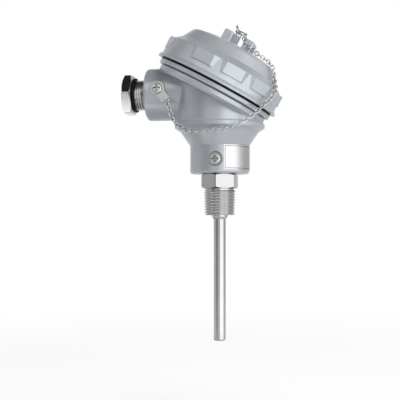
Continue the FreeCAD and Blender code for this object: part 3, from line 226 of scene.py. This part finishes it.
def moved(shape, matrix):
    """The shape in the place that the matrix gives it."""
    vertices, faces = shape
    return [tuple(matrix @ Vector(v)) for v in vertices], faces


def hexagon(size, low):
    """Rings of a chamfered hexagon from its lower face to its upper one."""
    half = size["flats"] / 2
    turn = math.radians(size["turn"])
    land = half - size["land"]
    slope = math.tan(math.radians(HEX_CHAMFER))
    half_side = math.pi / 6
    widest = half / math.cos(half_side) - HEX_CORNER_CUT

    def reach(angle):
        from_corner = abs((angle - turn + half_side) % (2 * half_side) - half_side)
        return min(half / math.cos(from_corner - half_side), widest)

    def under(angle):
        return low + (reach(angle) - land) * slope

    def over(angle):
        return low + size["height"] - (reach(angle) - land) * slope

    return [(land, low), (reach, under), (reach, over), (land, low + size["height"])]


def thread(size):
    """Helical V thread as one strip, cut off square at both ends and chamfered at the lower one."""
    pitch = size["pitch"]
    # one turn more at either end, to be cut off
    turns = (size["top"] - size["low"]) / pitch + 2
    count = int(turns * THREAD_STEPS)
    profile = []
    for row in range(THREAD_ROWS):
        phase = row / THREAD_ROWS
        wave = (abs(phase - 0.5) * 2 - THREAD_CREST) / THREAD_FLANK
        profile.append((phase, size["depth"] * min(1.0, max(0.0, wave))))
    profile.append((1.0, profile[0][1]))
    vertices = []
    faces = []
    for step in range(count + 1):
        angle = 2 * math.pi * step / THREAD_STEPS
        base = size["low"] - pitch + pitch * step / THREAD_STEPS
        for phase, cut in profile:
            z = min(size["top"], max(size["low"], base + pitch * phase))
            radius = size["od"] / 2 - (size["top"] - z) * size["taper"] / 2 - cut
            limit = size["od"] / 2 - size["depth"] + min(z - size["low"], THREAD_CHAMFER)
            radius = min(radius, limit)
            vertices.append((radius * math.cos(angle), radius * math.sin(angle), z))
    width = len(profile)
    for step in range(count):
        for row in range(THREAD_ROWS):
            a = step * width + row
            faces.append((a, a + width, a + width + 1, a + 1))
    return vertices, faces


def boss_matrix():
    """Frame of the cable entry: +Z out of the boss, which is the row's -X."""
    turn = Matrix(((0, 0, -1), (0, 1, 0), (1, 0, 0)))
    return Matrix.Translation((BOSS_FACE, 0, BOSS_HEIGHT)) @ turn.to_4x4()


# Materials

def number_nodes(tree):
    """Short calls for the number nodes of one tree: plain operations and a smooth step."""

    def math_node(operation, *values):
        node = tree.nodes.new("ShaderNodeMath")
        node.operation = operation
        for slot, value in zip(node.inputs, values):
            if isinstance(value, (int, float)):
                slot.default_value = value
            else:
                tree.links.new(value, slot)
        return node.outputs[0]

    def eased(value, low, high, before, after):
        ramp = tree.nodes.new("ShaderNodeMapRange")
        ramp.interpolation_type = "SMOOTHSTEP"
        ramp.inputs["From Min"].default_value = low
        ramp.inputs["From Max"].default_value = high
        ramp.inputs["To Min"].default_value = before
        ramp.inputs["To Max"].default_value = after
        tree.links.new(value, ramp.inputs["Value"])
        return ramp.outputs["Result"]

    return math_node, eased


class Paint:
    """Small helper that builds one procedural material."""

    NOISE_RANGE = (0.3, 0.7)

    def __init__(self, name, colour, metallic):
        self.name = name
        self.colour = colour
        self.material = bpy.data.materials.new(name)
        self.material.use_nodes = True
        self.tree = self.material.node_tree
        self.shader = self.tree.nodes["Principled BSDF"]
        self.base = self.shader.inputs["Base Color"]
        self.base.default_value = (*colour, 1)
        self.shader.inputs["Metallic"].default_value = metallic
        self.place = self.add("ShaderNodeTexCoord").outputs["Object"]

    def add(self, kind, **values):
        """A node with these values on its sockets, or else on the node itself."""
        node = self.tree.nodes.new(kind)
        for key, value in values.items():
            if key in node.inputs:
                node.inputs[key].default_value = value
            else:
                setattr(node, key, value)
        return node

    def link(self, source, target):
        self.tree.links.new(source, target)

    def split(self):
        """The three parts of the place on the object, in metres."""
        parts = self.add("ShaderNodeSeparateXYZ")
        self.link(self.place, parts.inputs[0])
        return parts.outputs

    def noise(self, scale, detail, stretch=(1, 1, 1)):
        """Even noise over the object, finer along the axes that are stretched."""
        mapping = self.add("ShaderNodeMapping", Scale=stretch)
        self.link(self.place, mapping.inputs["Vector"])
        noise = self.add("ShaderNodeTexNoise", Scale=scale, Detail=detail)
        self.link(mapping.outputs["Vector"], noise.inputs["Vector"])
        return noise.outputs["Fac"]

    def spread(self, value, low, high):
        """Noise, spread over the range between two values."""
        ramp = self.add("ShaderNodeMapRange")
        ramp.inputs["From Min"].default_value = self.NOISE_RANGE[0]
        ramp.inputs["From Max"].default_value = self.NOISE_RANGE[1]
        ramp.inputs["To Min"].default_value = low
        ramp.inputs["To Max"].default_value = high
        self.link(value, ramp.inputs["Value"])
        return ramp.outputs["Result"]

    def toned(self, share):
        """The paint's own colour, darker or lighter."""
        return (*[min(1.0, c * share) for c in self.colour], 1)

    def mix(self):
        """A colour mix that feeds the shader now: its three sockets, and what fed it before."""
        node = self.add("ShaderNodeMix", data_type="RGBA")
        share, first, second = node.inputs[0], node.inputs[6], node.inputs[7]
        before = self.base.links[0].from_socket if self.base.is_linked else None
        self.link(node.outputs[2], self.base)
        return share, first, second, before

    def vary_colour(self, value, darker, lighter):
        """The paint's own colour between two shares of it."""
        share, first, second, _ = self.mix()
        self.link(self.spread(value, 0.0, 1.0), share)
        first.default_value = self.toned(darker)
        second.default_value = self.toned(lighter)

    def painted_crevice_shade(self, reach, dark):
        """Painted shade: the colour darker where other metal stands close, by this many
        millimetres.
        """
        near = self.add("ShaderNodeAmbientOcclusion", samples=16, Distance=reach * MM)
        share, first, second, before = self.mix()
        self.link(near.outputs["AO"], share)
        first.default_value = self.toned(dark)
        self.link(before, second)

    def print_over(self, ink, dark):
        """Ink over the colour that is there, where its share says so."""
        share, first, second, before = self.mix()
        self.link(ink, share)
        self.link(before, first)
        second.default_value = self.toned(dark)

    def vary_roughness(self, value, low, high):
        self.link(self.spread(value, low, high), self.shader.inputs["Roughness"])

    def bump(self, value, height, strength, ease=0.0):
        """Fine relief, over edges that look eased by this many millimetres."""
        bump = self.add("ShaderNodeBump", Strength=strength, Distance=height * MM)
        self.link(value, bump.inputs["Height"])
        if ease:
            bevel = self.add("ShaderNodeBevel", samples=8, Radius=ease * MM)
            self.link(bevel.outputs["Normal"], bump.inputs["Normal"])
        self.link(bump.outputs["Normal"], self.shader.inputs["Normal"])


def frame_line(size, paint):
    """Share of ink for a thin line inside the edge of the bent plate."""
    math_node, eased = number_nodes(paint.tree)
    x, y, z = paint.split()
    turn = math_node("DEGREES", math_node("ARCTAN2", x, math_node("MULTIPLY", y, -1.0)))
    from_middle = math_node("ABSOLUTE", math_node("SUBTRACT", turn, size["turn"]))
    arc = math.radians(size["radius"]) * MM
    from_side = math_node("MULTIPLY_ADD", from_middle, -arc, size["sweep"] / 2 * arc)
    middle = (size["low"] + size["high"]) / 2 * MM
    half_height = (size["high"] - size["low"]) / 2 * MM
    from_end = math_node("SUBTRACT", half_height,
                         math_node("ABSOLUTE", math_node("SUBTRACT", z, middle)))
    from_edge = math_node("MINIMUM", from_side, from_end)
    off = math_node("ABSOLUTE", math_node("SUBTRACT", from_edge, size["inset"] * MM))
    half = size["line"] / 2 * MM
    return eased(off, half * (1 - size["blur"]), half * (1 + size["blur"]), 1.0, 0.0)


def make_materials():
    """One paint per slot, and a brighter nickel for the chain.

    The numbers of noise are its scale, detail and stretch. Those of vary_colour are the darkest
    and the lightest share of the colour, and those of vary_roughness the smoothest and the
    roughest value. Painted crevice shade has a reach in millimetres and the share of the colour
    that it paints there, and bump has a height in millimetres, a strength and an eased edge in
    millimetres.
    """
    grey = Paint("grey_paint", (0.485, 0.515, 0.555), 0.6)
    grey.vary_colour(grey.noise(60, 4), 0.98, 1.02)
    grey.vary_roughness(grey.noise(140, 3), 0.28, 0.33)
    grey.bump(grey.noise(700, 2), 0.02, 0.3, 0.7)

    steel = Paint("stainless", (0.63, 0.63, 0.63), 1.0)
    rings = steel.noise(120, 3, (4, 4, 60))
    steel.vary_colour(steel.noise(90, 3), 0.95, 1.03)
    steel.vary_roughness(rings, 0.10, 0.20)
    steel.bump(rings, 0.01, 0.3)

    nickel = Paint("nickel", (0.76, 0.76, 0.745), 1.0)
    nickel.vary_colour(nickel.noise(150, 3), 0.94, 1.03)
    # painted shade where other parts stand close to the nickel
    nickel.painted_crevice_shade(1.5, 0.04)
    nickel.vary_roughness(nickel.noise(300, 3), 0.06, 0.13)

    links = Paint("chain_nickel", (0.90, 0.90, 0.89), 1.0)
    links.vary_colour(links.noise(700, 3), 0.70, 1.1)
    # painted shade, down to black, where the links stand close to each other
    links.painted_crevice_shade(2.2, 0.0)
    links.vary_roughness(links.noise(500, 3), 0.03, 0.10)

    zinc = Paint("zinc_plate", (0.70, 0.70, 0.70), 1.0)
    zinc.vary_colour(zinc.noise(400, 3), 0.9, 1.05)
    # painted shade in the screws' recesses and where they meet other parts
    zinc.painted_crevice_shade(1.6, 0.05)
    zinc.vary_roughness(zinc.noise(500, 3), 0.14, 0.25)

    rubber = Paint("black_rubber", (0.006, 0.006, 0.0065), 0.0)
    rubber.shader.inputs["Specular IOR Level"].default_value = 0.12
    rubber.vary_colour(rubber.noise(200, 3), 0.8, 1.3)
    rubber.vary_roughness(rubber.noise(300, 3), 0.42, 0.58)
    rubber.bump(rubber.noise(900, 2), 0.02, 0.4)

    brass = Paint("brass", (0.76, 0.57, 0.27), 1.0)
    brass.vary_colour(brass.noise(200, 3), 0.9, 1.06)
    brass.vary_roughness(brass.noise(300, 3), 0.16, 0.26)

    ceramic = Paint("ceramic", (0.83, 0.81, 0.75), 0.0)
    ceramic.vary_colour(ceramic.noise(180, 4), 0.94, 1.03)
    ceramic.vary_roughness(ceramic.noise(250, 3), 0.36, 0.52)
    ceramic.bump(ceramic.noise(800, 2), 0.02, 0.4)

    wire = Paint("wire_metal", (0.74, 0.73, 0.70), 1.0)
    wire.vary_colour(wire.noise(300, 3), 0.93, 1.04)
    wire.vary_roughness(wire.noise(400, 3), 0.14, 0.25)

    plate = Paint("plate_silver", (0.74, 0.74, 0.74), 1.0)
    streaks = plate.noise(160, 3, (1, 1, 40))
    plate.vary_colour(plate.noise(120, 3), 0.96, 1.02)
    plate.print_over(frame_line(PLATE, plate), PLATE["ink"])
    plate.vary_roughness(streaks, 0.30, 0.40)
    plate.bump(streaks, 0.006, 0.3)

    paints = (grey, steel, nickel, links, zinc, rubber, brass, ceramic, wire, plate)
    return {paint.name: paint.material for paint in paints}


MATERIALS = make_materials()


def dress(obj, slot):
    """Gives a piece its one material."""
    obj.data.materials.clear()
    obj.data.materials.append(MATERIALS[slot])


def carry(obj, body, slot):
    """Gives a new piece the material of its slot, and puts it on its body."""
    dress(obj, slot)
    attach(obj, body)
    return obj


def dress_nodes():
    """Gives every node of the frame the material that the record states."""
    slots = {entry["node"]: entry["material_slot"] for entry in RECORD["subparts"]}
    for name, obj in NODES.items():
        dress(obj, slots[name])


# Process fitting and gland screw with their real threads and chamfered hexagons

def make_fitting():
    size = PROCESS_THREAD
    low = size["low"]
    core = size["od"] / 2 - size["depth"] - CORE_SUNK
    core_end = core - (size["top"] - low) * size["taper"] / 2
    top = HEX["height"]
    groove = SHANK["radius"] - SHANK["groove"]
    shape = joined(
        lathe([(core - UNDERSIDE_SUNK, 0.0)] + hexagon(HEX, 0.0) + [(groove, top)], HEX_STEPS),
        lathe([
            (groove, top),
            (groove, top + SHANK["groove_top"]),
            (SHANK["radius"], top + SHANK["thread"]),
            (SHANK["radius"], SHANK["top"] - SHANK["chamfer"]),
            (SHANK["radius"] - SHANK["chamfer"], SHANK["top"]),
            (FITTING_BORE, SHANK["top"]),
            (FITTING_BORE, WELD_COLLAR["low"]),
            (WELD_COLLAR["foot"], WELD_COLLAR["low"]),
            (WELD_COLLAR["radius"] - WELD_COLLAR["round"],
             WELD_COLLAR["low"] + WELD_COLLAR["slope_top"]),
            (WELD_COLLAR["radius"], WELD_COLLAR["low"] + WELD_COLLAR["round_top"]),
            (WELD_COLLAR["radius"], low),
            (core_end, low),
            (core_end, low + CORE_END),
            (core, size["top"] - CORE_END),
            (core, 0.0),
        ], ROUND_STEPS),
        thread(size),
    )
    fitting = new_object("process_fitting_turned", *shape)
    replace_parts(carry(fitting, "head", "stainless"), "process_fitting")


def make_gland():
    size = GLAND_THREAD
    core = size["od"] / 2 - size["depth"]
    base = GLAND_HEX["base"]
    top = base + GLAND_HEX["height"]
    mouth = [(GLAND_BORE + wider, top - under) for wider, under in GLAND_MOUTH]
    end = [(GLAND_BORE, size["low"]), (core - GLAND_END_SUNK, size["low"])]
    shape = joined(
        lathe([(core, base)] + hexagon(GLAND_HEX, base) + mouth + end, HEX_STEPS),
        lathe([(core, size["top"] - GLAND_NECK_OVERLAP), (core, base)], ROUND_STEPS),
        thread(size),
    )
    gland = new_object("gland_screw_turned", *moved(shape, boss_matrix()))
    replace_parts(carry(gland, "gland", "nickel"), "gland_screw")


# Chain and long link: each link is finer than its solid, and lies where the solid lies

def islands(obj):
    """Vertex places of each loose part of a mesh, in metres."""
    build = bmesh.new()
    build.from_mesh(obj.data)
    bmesh.ops.remove_doubles(build, verts=build.verts, dist=LINK_WELD_METRES)
    build.verts.ensure_lookup_table()
    seen = set()
    groups = []
    for start in build.verts:
        if start.index in seen:
            continue
        stack = [start]
        seen.add(start.index)
        group = []
        while stack:
            vertex = stack.pop()
            group.append(tuple(vertex.co))
            for edge in vertex.link_edges:
                other = edge.other_vert(vertex)
                if other.index not in seen:
                    seen.add(other.index)
                    stack.append(other)
        groups.append(np.array(group))
    build.free()
    return groups


def lie_of(points):
    """Middle, axes and half sizes of a flat piece: the longest way, the next, the thinnest."""
    middle = points.mean(0)
    centred = points - middle
    _, _, axes = np.linalg.svd(centred, full_matrices=False)
    reach = np.abs(centred @ axes.T).max(0)
    return middle, axes, reach


def wire_oval(length, width, wire, bend_steps, sides):
    """Round-wire oval link about its middle: longest along X, flat in XY."""
    bend = (width - wire) / 2
    straight = (length - wire) / 2 - bend
    path = []
    for end in (1, -1):
        for step in range(bend_steps + 1):
            angle = math.pi * (step / bend_steps - 0.5) + (0 if end > 0 else math.pi)
            path.append((end * straight, math.cos(angle), math.sin(angle)))
    vertices = []
    faces = []
    for middle, across, along in path:
        for side in range(sides):
            turn = 2 * math.pi * side / sides
            reach = bend + wire / 2 * math.cos(turn)
            vertices.append((middle + across * reach, along * reach, wire / 2 * math.sin(turn)))
    count = len(path)
    for row in range(count):
        low = row * sides
        high = (row + 1) % count * sides
        for side in range(sides):
            after = (side + 1) % sides
            faces.append((low + side, high + side, high + after, low + after))
    return vertices, faces


def link_over(points, wire, bend_steps, sides):
    """A round-wire link of the size of a solid link, in its place."""
    middle, axes, reach = lie_of(points)
    matrix = Matrix([[*axes[:, i]] for i in range(3)]).to_4x4()
    matrix.translation = Vector(middle / MM)
    length, width = 2 * reach[0] / MM, 2 * reach[1] / MM
    return moved(wire_oval(length, width, wire, bend_steps, sides), matrix)


def make_chain():
    links = [link_over(points, **CHAIN_LINK) for points in islands(NODES["safety_chain"])]
    chain = new_object("safety_chain_links", *joined(*links))
    dress(chain, "chain_nickel")
    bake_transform(chain)
    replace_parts(chain, "safety_chain")


def make_hook():
    shape = link_over(islands(NODES["chain_hook"])[0], **HOOK_LINK)
    hook = new_object("chain_hook_wire", *shape)
    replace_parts(carry(hook, "cap", "stainless"), "chain_hook")


# Floor, studio, lamps and camera

def studio_ring(tree, place, math_node):
    """Brightness of the studio towards a place, its azimuth in degrees and its height."""
    turn = tree.nodes.new("ShaderNodeMapping")
    turn.inputs["Rotation"].default_value = (0, 0, -math.radians(CAMERA_AZIMUTH))
    tree.links.new(place, turn.inputs["Vector"])
    parts = tree.nodes.new("ShaderNodeSeparateXYZ")
    tree.links.new(turn.outputs["Vector"], parts.inputs[0])
    across, along, up = parts.outputs
    azimuth = math_node("ARCTAN2", across, math_node("MULTIPLY", along, -1.0))
    ring = tree.nodes.new("ShaderNodeValToRGB")
    tree.links.new(math_node("MULTIPLY_ADD", azimuth, 0.5 / math.pi, 0.5), ring.inputs[0])
    stops = ring.color_ramp.elements
    stops.remove(stops[1])
    for order, (angle, level) in enumerate(STUDIO_RING):
        position = angle / 360 + 0.5
        stop = stops.new(position) if order else stops[0]
        stop.position = position
        stop.color = (*[level / RING_PEAK] * 3, 1)
    level = math_node("MULTIPLY", ring.outputs["Color"], RING_PEAK)
    return level, math_node("DEGREES", azimuth), up


def make_floor():
    """Pale floor: near the object its shadow shows, further off it runs into the white behind."""
    half = FLOOR_HALF
    corners = [(-half, -half), (half, -half), (half, half), (-half, half)]
    floor = new_object("floor", [(*c, FLOOR_HEIGHT) for c in corners], [(0, 1, 2, 3)], False)
    paint = Paint("floor", (0.80, 0.80, 0.80), 0.0)
    paint.shader.inputs["Roughness"].default_value = 0.7
    paint.vary_colour(paint.noise(8, 2), 0.99, 1.0)

    math_node, eased = number_nodes(paint.tree)
    length = paint.add("ShaderNodeVectorMath", operation="LENGTH")
    paint.link(paint.place, length.inputs[0])
    distance = length.outputs["Value"]
    x, y, _ = paint.split()

    # what the object mirrors near it: the table, and a lit card in front, brighter to the left
    ahead = math_node("ABSOLUTE", math_node("SUBTRACT", y, CARD_MIDDLE))
    card = math_node("MULTIPLY", eased(ahead, *CARD_DEPTH), eased(x, *CARD_LEVEL))
    near = math_node("ADD", card, eased(x, *FLOOR_LEVEL))
    # further off it mirrors the studio, as a polished sweep shows it
    ring, _, _ = studio_ring(paint.tree, paint.place, math_node)
    beyond = math_node("SUBTRACT", ring, near)
    mirrored = math_node("MULTIPLY_ADD", beyond, eased(distance, *FLOOR_TO_RING), near)

    path = paint.add("ShaderNodeLightPath")
    glossy_ray = path.outputs["Is Glossy Ray"]
    seen = math_node("MULTIPLY", path.outputs["Is Camera Ray"], eased(distance, *FLOOR_WHITE))
    share = math_node("MAXIMUM", seen, math_node("MULTIPLY", glossy_ray, FLOOR_MIRROR))
    beyond_white = math_node("SUBTRACT", mirrored, 1.0)
    glow = paint.add("ShaderNodeEmission")
    paint.link(math_node("MULTIPLY_ADD", glossy_ray, beyond_white, 1.0), glow.inputs["Strength"])
    mix = paint.add("ShaderNodeMixShader")
    paint.link(share, mix.inputs[0])
    paint.link(paint.shader.outputs[0], mix.inputs[1])
    paint.link(glow.outputs[0], mix.inputs[2])
    paint.link(mix.outputs[0], paint.tree.nodes["Material Output"].inputs["Surface"])
    floor.data.materials.append(paint.material)


def make_world():
    """The studio ring and a soft box for what the object mirrors; the camera sees plain white."""
    world = bpy.data.worlds.new("studio")
    bpy.context.scene.world = world
    world.use_nodes = True
    tree = world.node_tree
    tree.nodes.clear()

    math_node, eased = number_nodes(tree)
    place = tree.nodes.new("ShaderNodeTexCoord").outputs["Generated"]
    ring, azimuth, up = studio_ring(tree, place, math_node)
    walls = math_node("MULTIPLY", ring, eased(up, *RING_TO_CEILING))
    # a long soft box above the camera, to the left
    tall = math_node("MULTIPLY", eased(up, *SOFT_BOX_LOW), eased(up, *SOFT_BOX_HIGH))
    wide = math_node("MULTIPLY", eased(azimuth, *SOFT_BOX_LEFT), eased(azimuth, *SOFT_BOX_RIGHT))
    box = math_node("MULTIPLY", tall, wide)

    room = tree.nodes.new("ShaderNodeBackground")
    strength = math_node("MULTIPLY_ADD", box, SOFT_BOX_LEVEL, walls)
    tree.links.new(strength, room.inputs["Strength"])
    backdrop = tree.nodes.new("ShaderNodeBackground")
    backdrop.inputs["Color"].default_value = (1, 1, 1, 1)
    path = tree.nodes.new("ShaderNodeLightPath")
    mix = tree.nodes.new("ShaderNodeMixShader")
    tree.links.new(path.outputs["Is Camera Ray"], mix.inputs[0])
    tree.links.new(room.outputs[0], mix.inputs[1])
    tree.links.new(backdrop.outputs[0], mix.inputs[2])
    output = tree.nodes.new("ShaderNodeOutputWorld")
    tree.links.new(mix.outputs[0], output.inputs["Surface"])


def make_lamps():
    """Square lamps for the soft light; the metals mirror the studio ring in their place."""
    for name, (spot, power) in LAMPS.items():
        lamp = bpy.data.lights.new(name, "AREA")
        lamp.size = LAMP_SIZE
        lamp.energy = power
        lamp.spread = math.radians(LAMP_SPREAD)
        obj = bpy.data.objects.new(name, lamp)
        bpy.context.scene.collection.objects.link(obj)
        obj.location = spot
        obj.rotation_mode = "QUATERNION"
        aim = Vector(LAMP_TARGET) - Vector(spot)
        obj.rotation_quaternion = aim.to_track_quat("-Z", "Y")
        obj.visible_glossy = False


def make_camera():
    """The photograph's camera: level, a little to the right of straight on."""
    azimuth = math.radians(CAMERA_AZIMUTH)
    data = bpy.data.cameras.new("camera")
    data.sensor_width = SENSOR_WIDTH
    data.lens = FOCAL_PX / FRAME_PX * SENSOR_WIDTH
    data.shift_x = (FRAME_PX / 2 - MIDDLE_PX[0]) / FRAME_PX
    data.shift_y = (MIDDLE_PX[1] - FRAME_PX / 2) / FRAME_PX
    camera = bpy.data.objects.new("camera", data)
    bpy.context.scene.collection.objects.link(camera)
    back = Vector((math.sin(azimuth), -math.cos(azimuth), 0))
    camera.location = back * CAMERA_DISTANCE + Vector((0, 0, CAMERA_HEIGHT))
    camera.rotation_mode = "QUATERNION"
    camera.rotation_quaternion = (-back).to_track_quat("-Z", "Y")
    bpy.context.scene.camera = camera


dress_nodes()
make_fitting()
make_gland()
make_chain()
make_hook()
make_floor()
make_world()
make_lamps()
make_camera()
bpy.context.scene.view_settings.view_transform = "Standard"
